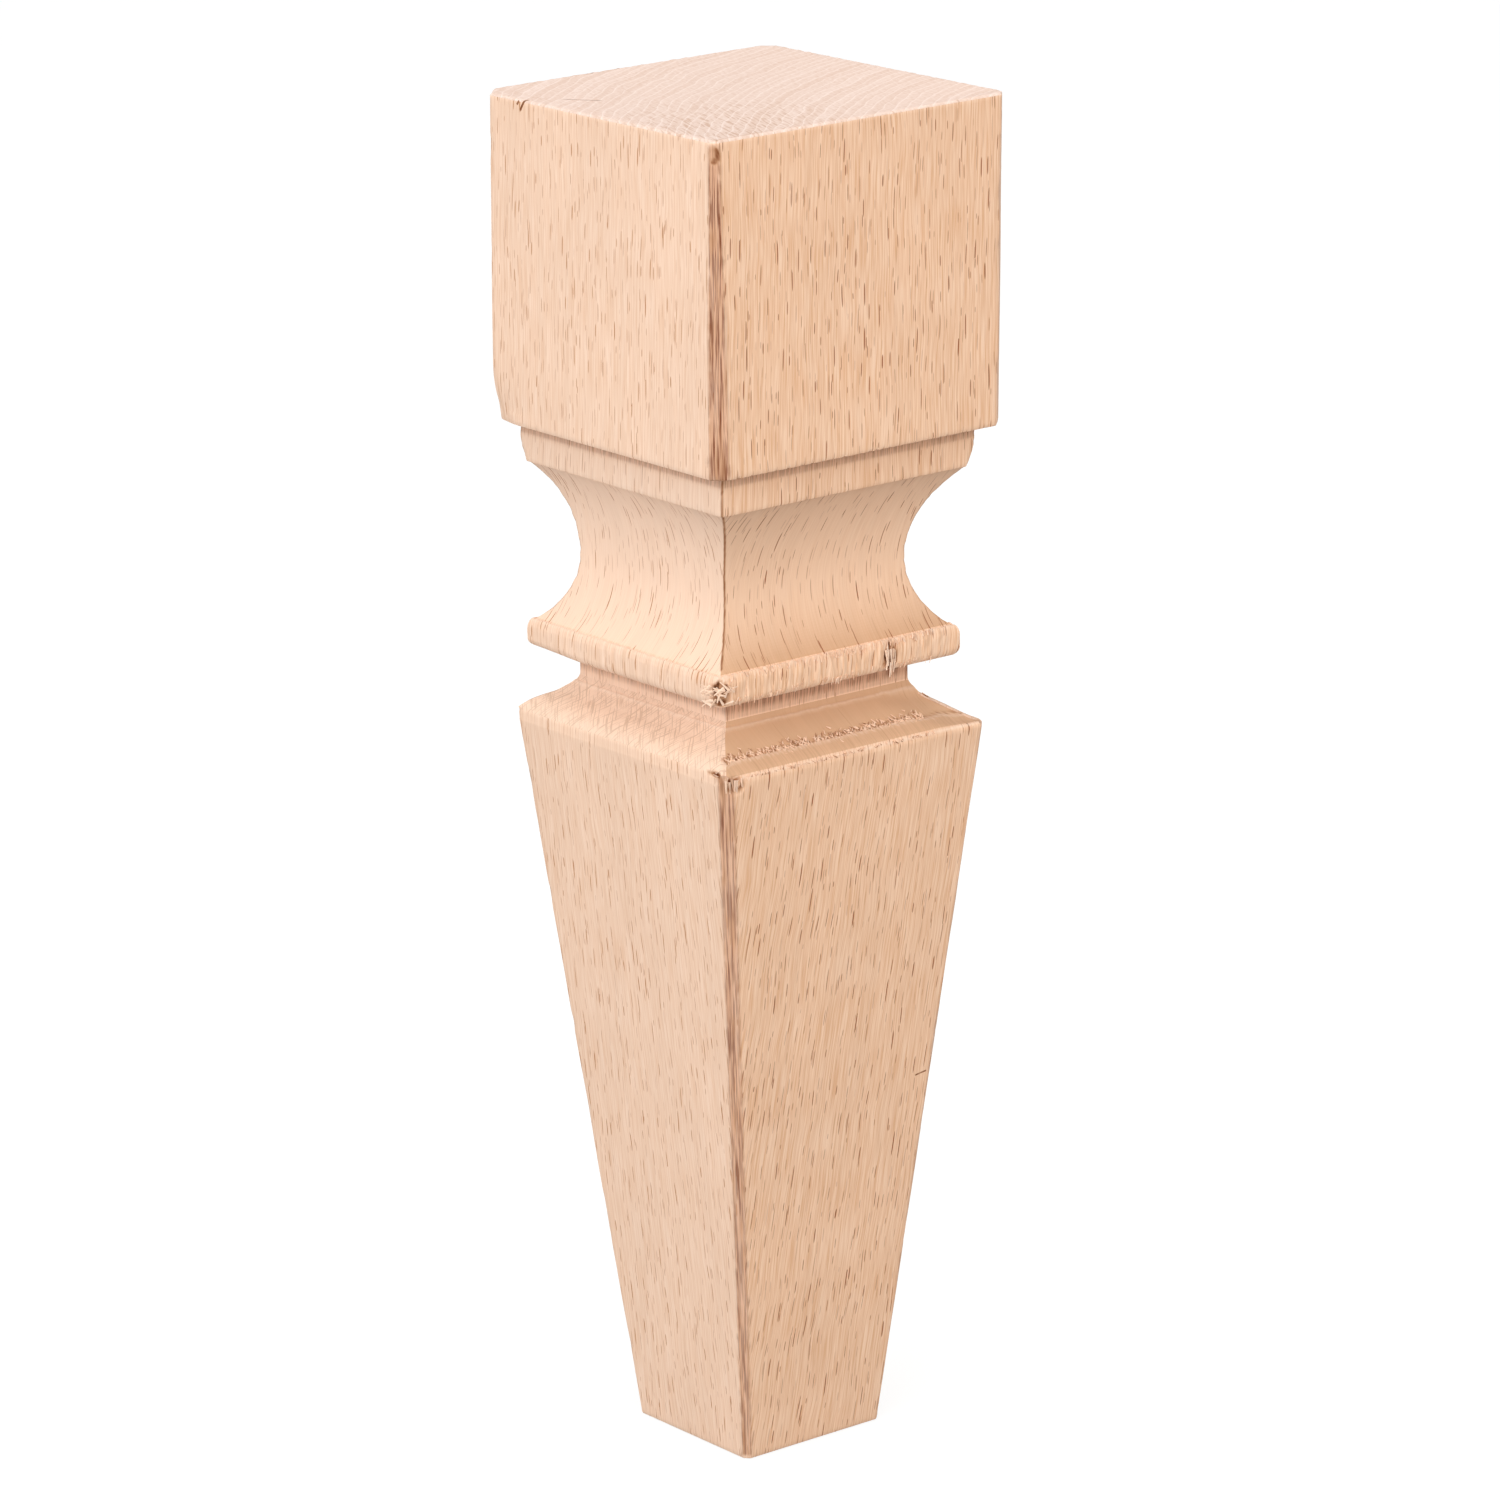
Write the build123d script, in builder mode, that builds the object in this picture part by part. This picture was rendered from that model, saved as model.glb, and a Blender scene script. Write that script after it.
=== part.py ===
from build123d import *
import os

# Square furniture leg cut from one length of beech. The same moulding runs round all four
# sides and meets at mitred corners: a square block on top, a band, a deep cove, a bead,
# a grooved neck, a sloping shoulder and a long taper down to a small square foot.
# Millimetres, +Z up, origin at the centre of the foot where it meets the floor.

# Width across the flats of the square blank, which the block on top keeps, and of the foot
block_width = 60.0
foot_width = 29.0

# Heights of the stages, from the floor up
taper_length = 121.5
shoulder_height = 6.2
neck_height = 4.8
bead_height = 4.0
cove_height = 27.5
waist_above_bead = 12.3
band_height = 7.0
block_height = 54.0

# Depths that the moulding is cut to below the sides of the blank
shoulder_depth = 2.5
neck_depth = 11.1
bead_depth = 5.0
waist_depth = 11.35
band_depth = 4.0

# Narrow flats planed along the corners of the block and of the taper, measured on each side
block_arris = 2.0
taper_arris = 1.4

# Radii worked into the moulding and over its long edges
foot_edge_radius = 0.5
shoulder_edge_radius = 1.2
neck_root_radius = 2.0
bead_edge_radius = 1.0
band_edge_radius = 1.2
block_edge_radius = 0.6

# Levels where one stage ends and the next begins
neck_bottom = taper_length + shoulder_height
bead_bottom = neck_bottom + neck_height
bead_top = bead_bottom + bead_height
waist_level = bead_top + waist_above_bead
band_bottom = bead_top + cove_height
block_bottom = band_bottom + band_height
leg_height = block_bottom + block_height

# Distances of the stages from the middle of the leg
foot_side = foot_width / 2
block_side = block_width / 2
shoulder_side = block_side - shoulder_depth
neck_side = block_side - neck_depth
bead_side = block_side - bead_depth
waist_side = block_side - waist_depth
band_side = block_side - band_depth


def ease_corner(section, side, level, radius):
    """Round the corner that a section has at this distance and level."""
    fillet([v for v in section.vertices() if Vector(v) == Vector(side, level)], radius)


# Section of one side, from the middle of the leg out to its face. The cove is two arcs that
# meet upright at its waist, the lower one tighter.
with BuildSketch(Plane.XZ) as side_section:
    with BuildLine():
        lower_edge = Polyline(
            (0, 0),
            (foot_side, 0),
            (shoulder_side, taper_length),
            (neck_side, neck_bottom),
            (neck_side, bead_bottom),
            (bead_side, bead_bottom),
            (bead_side, bead_top),
        )
        waist = (waist_side, waist_level)
        TangentArc(waist, lower_edge @ 1, tangent=(0, -1))
        upper_cove = TangentArc(waist, (band_side, band_bottom), tangent=(0, 1))
        Polyline(
            upper_cove @ 1,
            (band_side, block_bottom),
            (block_side, block_bottom),
            (block_side, leg_height),
            (0, leg_height),
            (0, 0),
        )
    make_face()
    ease_corner(side_section, foot_side, 0, foot_edge_radius)
    ease_corner(side_section, shoulder_side, taper_length, shoulder_edge_radius)
    ease_corner(side_section, neck_side, neck_bottom, neck_root_radius)
    ease_corner(side_section, bead_side, bead_bottom, bead_edge_radius)
    ease_corner(side_section, bead_side, bead_top, bead_edge_radius)
    ease_corner(side_section, band_side, band_bottom, band_edge_radius)
    ease_corner(side_section, block_side, block_bottom, block_edge_radius)
    ease_corner(side_section, block_side, leg_height, block_edge_radius)

# One side of the leg, cut off at the two mitres where it meets its neighbours
with BuildPart() as mitred_side:
    extrude(side_section.sketch, amount=block_width, both=True)
    split(bisect_by=Plane(origin=(0, 0, 0), z_dir=(1, 1, 0)), keep=Keep.TOP)
    split(bisect_by=Plane(origin=(0, 0, 0), z_dir=(1, -1, 0)), keep=Keep.TOP)

# Outline from corner to corner. It planes the corners of the taper and of the block to their
# flats, and steps from one to the other beside the neck, clear of the mitres in between.
corner_ratio = 2**0.5
foot_reach = (foot_side - taper_arris / 2) * corner_ratio
taper_reach = (shoulder_side - taper_arris / 2) * corner_ratio
step_reach = taper_reach + (taper_reach - foot_reach) * shoulder_height / taper_length
block_reach = (block_side - block_arris / 2) * corner_ratio

with BuildSketch(Plane.XZ) as corner_outline:
    with BuildLine():
        Polyline(
            (0, 0),
            (foot_reach, 0),
            (step_reach, neck_bottom),
            (block_reach, neck_bottom),
            (block_reach, leg_height),
            (0, leg_height),
        )
        mirror(about=Plane.YZ)
    make_face()

# The same side four times round makes the moulded leg, and its corners are planed last
with BuildPart() as leg:
    with PolarLocations(0, 4):
        add(mitred_side.part)
    extrude(corner_outline.sketch.rotate(Axis.Z, 45), amount=block_width, both=True, mode=Mode.INTERSECT)
    extrude(corner_outline.sketch.rotate(Axis.Z, 135), amount=block_width, both=True, mode=Mode.INTERSECT)

leg.part.label = "leg"
os.makedirs("parts", exist_ok=True)
export_step(leg.part, "parts/leg.step")
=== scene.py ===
import math
import random

import bmesh
import bpy
from mathutils import Matrix, Vector, noise


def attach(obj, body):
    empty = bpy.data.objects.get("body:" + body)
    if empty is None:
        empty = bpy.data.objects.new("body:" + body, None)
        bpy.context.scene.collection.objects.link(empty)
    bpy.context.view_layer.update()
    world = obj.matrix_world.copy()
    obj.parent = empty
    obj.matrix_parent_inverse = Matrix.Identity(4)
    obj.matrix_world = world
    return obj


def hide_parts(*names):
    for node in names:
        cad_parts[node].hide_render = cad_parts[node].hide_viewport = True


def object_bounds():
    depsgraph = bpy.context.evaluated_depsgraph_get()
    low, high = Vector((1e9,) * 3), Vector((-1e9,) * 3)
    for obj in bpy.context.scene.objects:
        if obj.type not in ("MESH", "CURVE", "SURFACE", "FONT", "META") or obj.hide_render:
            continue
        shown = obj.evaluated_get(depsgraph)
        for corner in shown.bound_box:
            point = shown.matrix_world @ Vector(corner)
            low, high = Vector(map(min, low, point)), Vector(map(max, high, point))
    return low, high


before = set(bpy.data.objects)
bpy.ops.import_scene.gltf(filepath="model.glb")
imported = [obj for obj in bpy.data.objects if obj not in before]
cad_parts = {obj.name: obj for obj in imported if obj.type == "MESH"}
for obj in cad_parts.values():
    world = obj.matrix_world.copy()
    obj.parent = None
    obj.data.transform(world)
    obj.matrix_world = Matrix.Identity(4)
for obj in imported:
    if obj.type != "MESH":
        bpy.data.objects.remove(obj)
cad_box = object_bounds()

# The leg is one length of raw beech, moulded alike on its four flat sides by a spindle cutter and
# sawn off square: a block on top, a band, a cove, a bead, a grooved neck, a sloping shoulder and a
# long taper. Its corners are planed to narrow flats and the cutter has torn some of its edges.

# Distances of the stages from the middle of the leg, in millimetres
mm = 0.001
foot_side = 14.5
shoulder_side = 27.5
neck_side = 18.9
bead_side = 25.0
crease_side = 24.1
waist_side = 18.65
quirk_side = 25.1
band_side = 26.0
block_side = round(cad_box[1][0] / mm, 3)

# Levels where they begin and end, from the floor up
taper_top = 121.5
neck_bottom = 127.7
bead_bottom = 132.5
crease_level = 137.45
bead_top = 137.65
waist_level = 148.8
band_bottom = 164.0
block_bottom = 171.0
leg_height = round(cad_box[1][2] / mm, 3)
block_height = leg_height - block_bottom

# Width of the flats along the corners, and how close two points are that count as one
block_arris = 2.0
taper_arris = 1.4
hair = 0.01

body = bmesh.new()


def follow(corners):
    """Extrude the upper end of the section to each of these corners in turn."""
    for side, level in corners:
        end = body.verts[-1]
        reach = Vector((side, 0.0, level)) - end.co
        tip = bmesh.ops.extrude_vert_indiv(body, verts=[end])["verts"]
        bmesh.ops.translate(body, verts=tip, vec=reach)
        body.verts.ensure_lookup_table()


def sweep_cove(depth, rise):
    """Spin the upper end of the section along an arc that stands upright at the waist."""
    radius = (depth**2 + rise**2) / (2.0 * depth)
    bmesh.ops.spin(body, geom=[body.verts[-1]], cent=(waist_side + radius, 0.0, waist_level),
                   axis=(0.0, 1.0, 0.0), angle=math.asin(rise / radius), steps=26)
    body.verts.ensure_lookup_table()


# The section from the foot up, with the bead's rolled nose and the crease behind it
bmesh.ops.create_vert(body, co=(foot_side, 0.0, 0.0))
body.verts.ensure_lookup_table()
follow([(shoulder_side, taper_top), (neck_side, neck_bottom), (neck_side, bead_bottom),
        (bead_side, bead_bottom)])
follow([(bead_side, 135.8), (24.95, 136.4), (24.82, 136.95), (24.62, 137.4), (24.38, bead_top),
        (24.24, bead_top), (crease_side, crease_level)])
sweep_cove(crease_side - waist_side, waist_level - crease_level)
sweep_cove(quirk_side - waist_side, band_bottom - waist_level)
follow([(band_side, band_bottom), (band_side, block_bottom), (block_side, block_bottom),
        (block_side, leg_height)])

# It is sheared into the mitre and spun round in four steps
into_mitre = Matrix.Identity(4)
into_mitre[1][0] = -1.0
bmesh.ops.transform(body, matrix=into_mitre, verts=body.verts)
bmesh.ops.spin(body, geom=body.verts[:] + body.edges[:], cent=(0.0, 0.0, 0.0), axis=(0.0, 0.0, 1.0),
               angle=math.tau, steps=4, use_merge=True)
bmesh.ops.remove_doubles(body, verts=body.verts, dist=0.1 * hair)
bmesh.ops.holes_fill(body, edges=[e for e in body.edges if e.is_boundary], sides=4)
bmesh.ops.recalc_face_normals(body, faces=body.faces)


def corner_edges(low, high):
    """Edges that run along the four corners between two levels."""
    return [e for e in body.edges
            if abs(e.verts[0].co.z - e.verts[1].co.z) > 1.0
            and all(low - hair < v.co.z < high + hair for v in e.verts)
            and all(abs(abs(v.co.x) - abs(v.co.y)) < hair for v in e.verts)]


def ease_edge(side, level, radius, segments):
    """Round the edge that runs round the leg at this distance and level."""
    ring = [e for e in body.edges
            if all(abs(v.co.z - level) < hair for v in e.verts)
            and all(abs(max(abs(v.co.x), abs(v.co.y)) - side) < hair for v in e.verts)]
    turn = max(ring, key=lambda e: e.calc_length()).calc_face_angle()
    bmesh.ops.bevel(body, geom=ring, offset=radius * math.tan(turn / 2.0), offset_type="OFFSET",
                    affect="EDGES", segments=segments, profile=0.5, material=-1)


# Flats planed along the corners
for low, high, width in ((block_bottom, leg_height, block_arris), (0.0, taper_top, taper_arris)):
    bmesh.ops.bevel(body, geom=corner_edges(low, high), offset=width, offset_type="OFFSET",
                    affect="EDGES", segments=1, profile=0.5, material=-1)

# The plane wandered: width of each flat at the top and bottom of the block and of the taper, for the
# front, left, right and back corners
front_corner, left_corner, right_corner, back_corner = (-1, -1), (-1, 1), (1, -1), (1, 1)
flat_widths = {front_corner: (0.95, 2.1, 1.65, 0.9), left_corner: (3.2, 2.2, 1.4, 1.2),
               right_corner: (1.7, 2.8, 1.5, 1.2), back_corner: (2.0, 2.0, 1.4, 1.3)}
flat_ends = ((leg_height, block_arris), (block_bottom, block_arris),
             (taper_top, taper_arris), (0.0, taper_arris))
for v in body.verts:
    corner = (1 if v.co.x > 0.0 else -1, 1 if v.co.y > 0.0 else -1)
    outer = max(abs(v.co.x), abs(v.co.y))
    inner = min(abs(v.co.x), abs(v.co.y))
    for end, (level, width) in enumerate(flat_ends):
        if abs(v.co.z - level) < hair and abs(outer - inner - width) < 2.0 * hair:
            narrowed = outer - flat_widths[corner][end]
            if abs(v.co.x) < abs(v.co.y):
                v.co.x = corner[0] * narrowed
            else:
                v.co.y = corner[1] * narrowed

# Edges of the moulding, each with its radius and the steps that round it
for side, level, radius, segments in (
        (foot_side, 0.0, 0.5, 2),
        (shoulder_side, taper_top, 1.2, 3),
        (neck_side, neck_bottom, 2.0, 4),
        (bead_side, bead_bottom, 1.3, 4),
        (band_side, band_bottom, 0.5, 2),
        (block_side, block_bottom, 0.5, 2),
        (block_side, leg_height, 0.35, 2)):
    ease_edge(side, level, radius, segments)


def cut(faces, through, across):
    """Divide these faces along a plane."""
    around = {e for f in faces for e in f.edges} | {v for f in faces for v in f.verts}
    bmesh.ops.bisect_plane(body, geom=list(faces) + list(around), dist=2.0 * hair,
                           plane_co=through, plane_no=across)


def upright(degrees):
    """Normal of the upright plane through the middle of the leg at this angle."""
    angle = math.radians(degrees)
    return (math.sin(angle), -math.cos(angle), 0.0)


# Columns that stand close together at the corners, two more along the cove's front mitre, then rows
# along the sides
for corner in (45.0, 135.0):
    for degrees in (-12.0, -5.0, -3.4, -2.4, -1.7, -1.1, -0.55, 0.0, 0.55, 1.1, 1.7, 2.4, 3.4, 5.0, 12.0):
        sides = [f for f in body.faces
                 if abs(f.normal.z) < 0.999 or 1.0 < f.calc_center_median().z < leg_height - 1.0]
        cut(sides, (0.0, 0.0, 0.0), upright(corner + degrees))
for degrees in (44.8, 45.2):
    cove_front = [f for f in body.faces
                  if crease_level < f.calc_center_median().z < band_bottom
                  and f.calc_center_median().x + f.calc_center_median().y < -20.0]
    cut(cove_front, (0.0, 0.0, 0.0), upright(degrees))
rows = [1.0 + 0.55 * step for step in range(219)]
rows += [122.0 + 0.25 * step for step in range(23)]
rows += [128.6 + 0.45 * step for step in range(9)]
rows += [133.7 + 0.35 * step for step in range(9)]
rows += [164.9, 166.5, 167.6, 168.2, 168.6, 169.0, 169.5, 170.75]
rows += [172.0 + 0.5 * step for step in range(105)]
for level in rows:
    cut([f for f in body.faces if min(v.co.z for v in f.verts) < level < max(v.co.z for v in f.verts)],
        (0.0, 0.0, level), (0.0, 0.0, 1.0))

# Finer columns over the levels where edges are torn, more of them on the two front sides. Each set
# divides the edges that are still as wide, in degrees about the middle of the leg.
torn_levels = ((taper_top - 3.0, bead_top + 0.55), (block_bottom - 1.5, block_bottom + 2.1),
               (leg_height - 2.4, leg_height + 0.1))
for wide, front_cuts, back_cuts in ((60.0, 130, 70), (6.0, 16, 9), (1.5, 3, 2)):
    for front, cuts in ((True, front_cuts), (False, back_cuts)):
        long_edges = []
        for e in body.edges:
            a, b = (v.co for v in e.verts)
            lies_level = abs(a.z - b.z) < 2.0 * hair
            on_side = (a.x + a.y + b.x + b.y < 0.0) == front
            if lies_level and on_side and any(low < a.z < high for low, high in torn_levels):
                off_middle = min(a.xy.length, b.xy.length) > 1.0
                spread = math.degrees(a.xy.angle(b.xy)) if off_middle else 0.0
                if wide < spread < wide * 1.25:
                    long_edges.append(e)
        bmesh.ops.subdivide_edges(body, edges=long_edges, cuts=cuts, use_grid_fill=True)
bmesh.ops.recalc_face_normals(body, faces=body.faces)

# The sawn top is one face inside a narrow rim
sawn_top = [f for f in body.faces if all(v.co.z > leg_height - hair for v in f.verts)]
sawn_top = bmesh.ops.dissolve_faces(body, faces=sawn_top)["region"]
bmesh.ops.inset_region(body, faces=sawn_top, thickness=0.6, use_boundary=True, use_even_offset=True)

# Each side carries its own grain map, in millimetres across and up the leg, and a tone: red for the
# two sides cut along the rings, green for wood cut across its fibres, blue for the slope of the
# shoulder, which is cut aslant, and for a cove that is darker the more it faces up on the two sides
# cut along the rings, alpha for how clearly its pore lines show. The fibres lean a little, by one
# amount below the block and another in it.
grain = body.loops.layers.uv.new("grain")
tone = body.loops.layers.float_color.new("tone")
wear_and_painted_light = body.verts.layers.float_color.new("wear_and_painted_light")
across_rings_side, along_rings_side, corner_flat = 1, 2, 4
fibre_lean = {across_rings_side: (0.0, 0.03), along_rings_side: (0.095, 0.02), corner_flat: (0.0, 0.0)}
for f in body.faces:
    n = f.normal
    middle = f.calc_center_median()
    if abs(abs(n.x) - abs(n.y)) < 0.25 and abs(n.z) < 0.4:
        turn, place = math.atan2(n.y, n.x), corner_flat
    elif abs(middle.x) > abs(middle.y):
        turn, place = (0.0 if middle.x > 0.0 else math.pi), across_rings_side
    else:
        turn, place = (math.pi / 2.0 if middle.y > 0.0 else -math.pi / 2.0), along_rings_side
    on_slope = taper_top + 0.4 < middle.z < neck_bottom + 0.5 and n.z > 0.3
    in_neck = neck_bottom < middle.z < bead_bottom
    in_cove = bead_top < middle.z < band_bottom
    end_grain = 1.0 if abs(n.z) > 0.97 or middle.z > leg_height - 0.3 else 0.0
    aslant = 1.0 if on_slope else 0.0
    # On the two sides cut along the rings the cove is tinted darker the more it faces up
    if in_cove and place == along_rings_side:
        aslant = min(1.0, 0.2 + 1.6 * max(0.0, n.z) ** 2)
    lined = 1.0
    if on_slope:
        lined = 0.12
    elif in_neck or in_cove:
        lined = 0.35
    across = Vector((-math.sin(turn), math.cos(turn), 0.0))
    low_lean, high_lean = fibre_lean[place]
    for loop in f.loops:
        z = loop.vert.co.z
        lean = low_lean * min(z, band_bottom) + high_lean * max(0.0, z - band_bottom)
        loop[grain].uv = (loop.vert.co.dot(across) - lean + 100.0 * (place + turn), z)
        loop[tone] = (1.0 if place == along_rings_side else 0.0, end_grain, aslant, lined)


def ramp(value, low, high):
    """From 0 at low to 1 at high, easing in and out."""
    part = max(0.0, min(1.0, (value - low) / (high - low)))
    return part * part * (3.0 - 2.0 * part)


def peak(value, middle, reach):
    """From 1 at the middle, straight down to 0 this far to either side."""
    return 1.0 - min(1.0, abs(value - middle) / reach)


def rough(*place):
    """Smooth noise from -1 to 1 at a place."""
    return noise.noise(Vector(place))


# What the cutter, the plane and the saw did to it, with painted light and shade besides. Wear is red
# where fibres are torn out and for the painted shade of the inner corners, green where they stand up
# pale and for the painted highlights, and blue where the wood is scorched and for the painted shade of
# the neck and the band. The crisp sides are the two on which the cutter ran against the grain, and a
# key sets the noise of each side apart.
slope = Vector((shoulder_side - neck_side, neck_bottom - taper_top))
lip_run = 3.6
for v in body.verts:
    x, y, z = v.co
    off_mitre = abs(abs(x) - abs(y))
    outer = max(abs(x), abs(y))
    corner = (1 if x > 0.0 else -1, 1 if y > 0.0 else -1)
    on_block = z > block_bottom - 0.1
    to_middle = Vector((-corner[0], -corner[1], 0.0)) / math.sqrt(2.0)
    if abs(x) > abs(y):
        along, outward, key, crisp = y, Vector((corner[0], 0.0, 0.0)), 10.0 * corner[0], x > 0.0
    else:
        along, outward, key, crisp = x, Vector((0.0, corner[1], 0.0)), 30.0 * corner[1], y < 0.0
    torn_and_shade = pale = scorch_and_shade = 0.0

    if on_block or z < taper_top + 0.6:
        # Flats planed along the corners, scorched and pitted, most of all at the front
        widths = flat_widths[corner]
        if on_block:
            width = widths[1] + (widths[0] - widths[1]) * (z - block_bottom) / block_height
        else:
            width = widths[3] + (widths[2] - widths[3]) * z / taper_top
        width += 0.3 * rough(z * 0.6, key, 3.0)
        over = 1.0 - ramp(off_mitre, width - 0.1, width + 0.45)
        if over > 0.0 and z > 0.6:
            lane = (abs(x) - abs(y)) * 1.3 + 17.0 * corner[0] + 5.0 * corner[1]
            fibre = rough(lane, 0.5, z * 0.09)
            pit = max(0.0, rough(lane * 1.4, 9.5, z * 0.24) - 0.18)
            patch = max(0.0, 0.8 * rough(lane * 0.5, 20.0, z * 0.11) - 0.2)
            strength = 0.25
            if corner == front_corner:
                strength = 1.05 if on_block else 0.88
            v.co += to_middle * over * max(0.0, 0.04 + 0.10 * fibre + 0.3 * pit)
            below_rim = 1.0 - ramp(z, leg_height - 1.4, leg_height - 0.4)
            scorch_and_shade = strength * over * (0.9 + 0.3 * fibre) * below_rim
            torn_and_shade = strength * over * min(0.6, 0.7 * pit + patch)
    elif off_mitre < 0.8 and bead_top + 0.5 < z:
        # Ragged mitres of the cove and the band
        ragged = 0.35 + rough(key, 0.0, z * 0.9) + 0.5 * rough(key, 4.0, z * 2.6)
        v.co += to_middle * max(0.0, 0.2 * ragged) * (1.0 - off_mitre / 0.8)
        if corner == front_corner:
            torn_and_shade = max(0.0, min(0.8, 0.4 + 0.6 * ragged)) * (1.0 - ramp(off_mitre, 0.08, 0.4))
        else:
            torn_and_shade = max(0.0, min(0.6, 0.2 + 0.5 * ragged)) * (1.0 - ramp(off_mitre, 0.02, 0.3))

    # Painted shade in the inner corners under the block and the bead, painted shade on the neck, a
    # painted shadow on the band under the block, a paler lower band on the two soft sides, and a slightly
    # paler cove
    under_block = abs(z - block_bottom) < 0.03 and outer < band_side + 0.1
    under_bead = abs(z - bead_bottom) < 0.03 and outer < neck_side + 0.1
    # Painted shade: the inner corners under the block and the bead are darkened like torn wood
    if under_block or under_bead:
        torn_and_shade = max(torn_and_shade, 0.42)
    # Painted shade on the neck under the bead, darkest just under it and darker on the crisp sides
    if neck_bottom + 0.1 < z < bead_bottom - 0.1 and outer < neck_side + 1.5:
        scorch_and_shade = (0.34 if crisp else 0.14) + 0.4 * ramp(z, neck_bottom + 1.2, neck_bottom + 2.3)
    # Painted shadow on the upper part of the band, just under the block. Lower down the band is paler on the
    # two soft sides.
    if band_bottom + 0.2 < z < block_bottom - 0.1:
        scorch_and_shade = 0.5 * ramp(z, block_bottom - 2.6, block_bottom - 1.8)
        pale = (0.0 if crisp else 0.2) * (1.0 - ramp(z, block_bottom - 3.0, block_bottom - 2.0))
    if bead_top + 0.2 < z < band_bottom - 0.2:
        pale = 0.05

    if z > leg_height - 0.8:
        # Uneven rim round the sawn top, with small nicks and a broken stretch at the back
        rim = ramp(outer, block_side - 0.9, block_side - 0.65)
        on_rim = rim * ramp(z, leg_height - 0.6, leg_height - 0.3)
        uneven = rough(along * 0.8, key, 1.0) + 0.6 * rough(along * 2.4, key, 2.0)
        v.co.z -= 0.10 * (1.0 + rim * uneven) * ramp(z, leg_height - 0.8, leg_height)
        pale = 0.12 * on_rim
        if y > block_side - 1.5 and -12.5 < x < -0.5:
            broken = max(0.0, min(1.0, 2.2 * rough(x * 1.7, 4.0, 0.0) + 0.15))
            torn_and_shade = broken * rim * ramp(z, leg_height - 0.5, leg_height - 0.3)
        else:
            nick = max(0.0, rough(along * 0.9, key, 12.0) - 0.42)
            torn_and_shade = max(torn_and_shade, 2.0 * nick * on_rim)

    if block_bottom - 0.05 < z < block_bottom + 1.4 and outer > block_side - 1.0:
        # Fibres lifted along the lower edge of the block
        lift = max(0.0, rough(along * 1.5, key, 5.0) + 0.5 * rough(along * 3.7, key, 6.0))
        near_edge = 1.0 - ramp(z, block_bottom, block_bottom + 1.3)
        v.co += (Vector((0.0, 0.0, 0.30)) - outward * 0.14) * lift * near_edge * (1.0 if crisp else 0.4)
        pale = 0.5 * near_edge * lift

    if bead_bottom - 0.05 < z < bead_top + 0.05 and outer > bead_side - 1.4:
        # Bead grooved along its fibres, pale with standing fibres on its nose and its lower rim; the paleness
        # of the nose is partly a painted highlight
        groove = rough(along * 0.8, z * 0.4, key) + 0.8 * rough(along * 2.4, z * 0.5, key)
        depth = (0.2 if crisp else 0.08) * (1.0 + groove)
        wave = (0.30 if crisp else 0.12) * rough(along * 1.1, key, 15.0)
        v.co -= outward * depth * ramp(outer, bead_side - 0.9, bead_side - 0.1)
        v.co.z += wave * ramp(z, bead_top - 1.0, bead_top)
        # The nose is pale with standing fibres and partly with a painted highlight
        nose = peak(z, bead_top - 0.15, 0.6)
        rim = 1.0 - ramp(z, bead_bottom + 0.3, bead_bottom + 1.0)
        pale = max(0.0, nose * (0.35 + 0.7 * groove) + rim * (0.15 + 0.5 * groove)) * (1.0 if crisp else 0.5)
        torn_and_shade = max(torn_and_shade, 0.7 * max(0.0, -0.75 - groove))

    if taper_top - 0.2 < z < neck_bottom + 0.9 and outer < shoulder_side + 0.05:
        # Shoulder, with the run up its slope from the taper
        up = Vector((slope.y * outward.x, slope.y * outward.y, slope.x)) / slope.length
        run = (z - taper_top) / slope.y * slope.length
        if crisp:
            # A raised lip with a torn, toothed end, dished out towards the right corner
            dish = 1.0 - ramp(off_mitre, 0.0, 11.0) if corner == right_corner else 0.0
            tooth = (0.5 * rough(along * 0.22, key, 1.0) + 0.45 * rough(along * 1.6, key, 2.0)
                     + 0.35 * rough(along * 3.7, key, 3.0))
            lip_end = lip_run + tooth
            on_lip = 1.0 - ramp(run, lip_end - 0.1, lip_end + 0.25)
            raised = 0.40 * ramp(run, 0.0, 1.2) * on_lip * (1.0 - dish)
            v.co += up * (raised - dish * ramp(run, -0.2, 2.0) * (1.0 - ramp(run, 8.0, 10.4)))
            ragged = rough(along * 2.9, key, 8.0)
            scorch_and_shade = 0.12 * on_lip * ramp(run, 0.2, 0.8)
            pale = peak(run, lip_end - 0.2, 0.6) * max(0.0, 0.4 + 0.9 * ragged)
            # A pale line along the arris at the foot of the slope, partly frayed fibres and partly a painted
            # highlight
            pale = max(pale, peak(run, 0.1, 0.45) * (0.7 + 0.6 * ragged))
            gap = max(0.0, 0.35 + 0.9 * rough(along * 2.3 + run, key, 9.0))
            torn_and_shade = max(torn_and_shade, peak(run, lip_end + 0.3, 0.7) * gap)
        else:
            # A soft swell, a little woolly where it starts
            v.co += up * 0.85 * math.sin(math.pi * max(0.0, min(1.0, run / 7.0)) ** 0.6)
            woolly = 0.5 + 0.7 * rough(along * 0.9, key, z * 1.4) + 0.4 * rough(along * 2.6, key, z * 3.0)
            pale = 0.22 * woolly * ramp(run, 0.2, 1.2) * (1.0 - ramp(run, 2.0, 4.2))
        ridge = peak(run, 9.75 + 0.25 * rough(along * 0.5, key, 4.0), 0.5)
        v.co += up * 0.16 * ridge
        pale = max(pale, 0.4 * ridge * (0.8 + 0.5 * rough(along * 2.0, key, 7.0)))
    v[wear_and_painted_light] = (torn_and_shade, max(0.0, min(1.0, pale)), max(0.0, scorch_and_shade), 1.0)


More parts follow.
